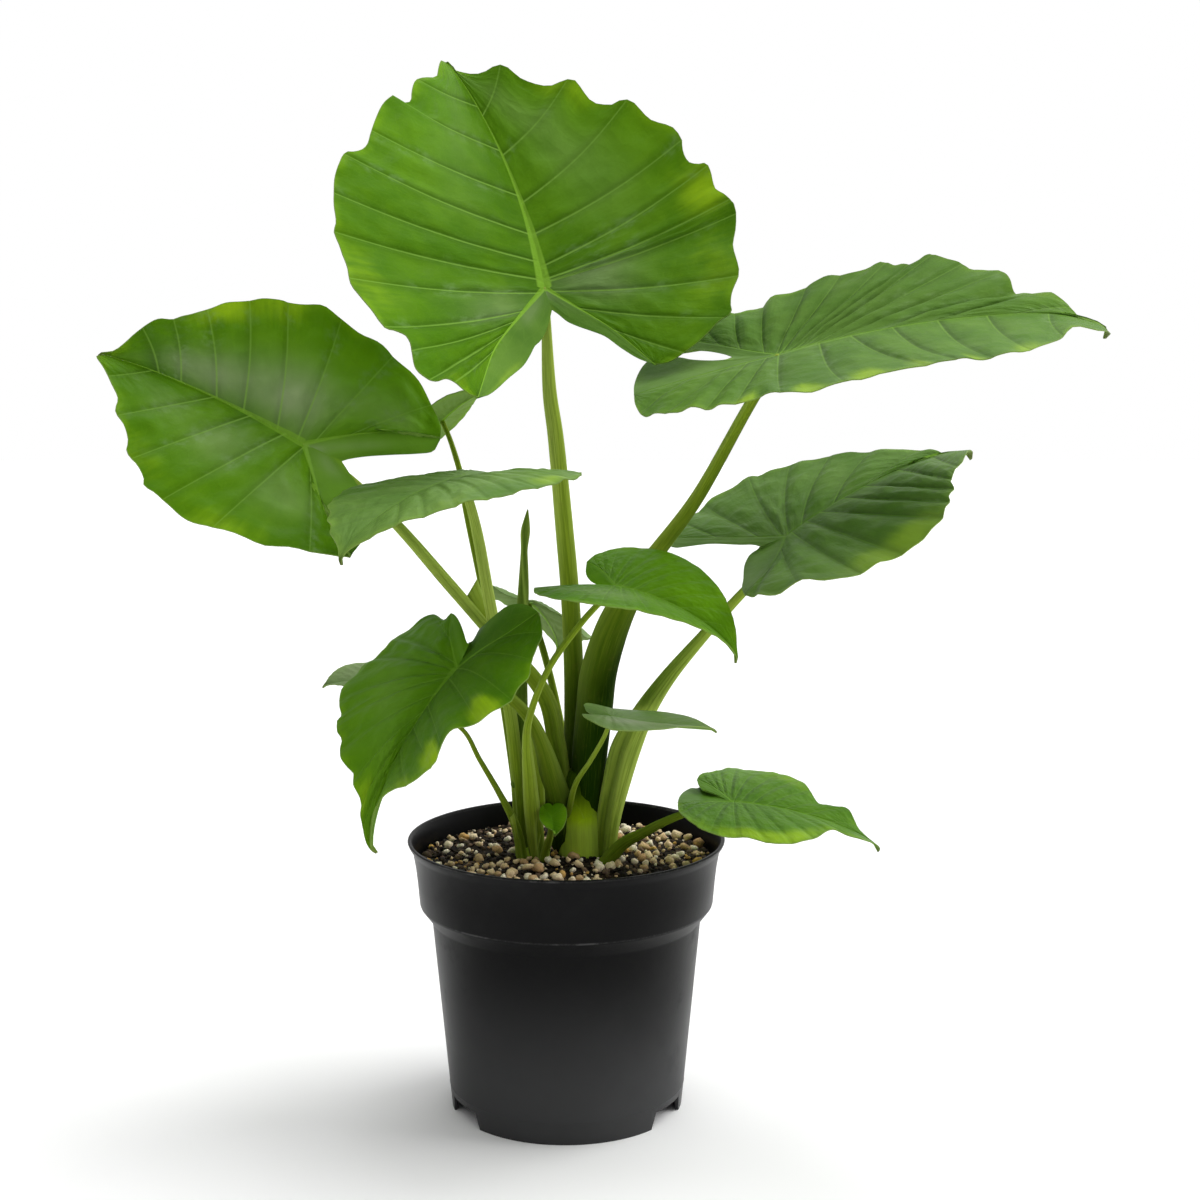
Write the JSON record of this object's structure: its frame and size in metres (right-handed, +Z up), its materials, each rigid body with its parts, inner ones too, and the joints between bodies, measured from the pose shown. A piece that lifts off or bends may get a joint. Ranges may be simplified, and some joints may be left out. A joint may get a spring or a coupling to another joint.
{
  "type": "potted alocasia",
  "caption": "Leafy house plant with broad arrow-shaped leaves on upright stalks, growing from grit-topped potting mix in a round tapered nursery pot.",
  "frame": {"origin": "middle of the whole plant's box, at the floor; the pot's axis stands 16 mm to the left of it and 5 mm behind it", "axes": "+Z up, the height of the plant; -Y is the front; +X is to the right seen from the front"},
  "size_m": [0.58, 0.3052, 0.64],
  "materials": {
    "pot": "satin",
    "potting_mix": "matte",
    "stem": "satin",
    "petiole": "satin",
    "new_leaf": "satin",
    "blade": "satin",
    "blade_young": "satin"
  },
  "bodies": {
    "root": {"pot": "pot", "soil": "potting_mix", "stem_main": "stem", "stem_left": "stem", "petiole_top": "petiole", "petiole_left": "petiole", "petiole_right_upper": "petiole", "petiole_right_middle": "petiole", "petiole_left_middle": "petiole", "petiole_front_left": "petiole", "petiole_centre": "petiole", "petiole_right_low": "petiole", "petiole_back_left": "petiole", "petiole_back": "petiole", "petiole_left_low": "petiole", "petiole_narrow": "petiole", "petiole_tiny": "petiole", "spear": "new_leaf", "blade_top": "blade", "blade_left": "blade", "blade_right_upper": "blade", "blade_right_middle": "blade", "blade_left_middle": "blade", "blade_front_left": "blade", "blade_centre": "blade_young", "blade_right_low": "blade_young", "blade_back_left": "blade", "blade_back": "blade", "blade_left_low": "blade", "blade_narrow": "blade_young", "blade_tiny": "blade_young"}
  },
  "joints": []
}
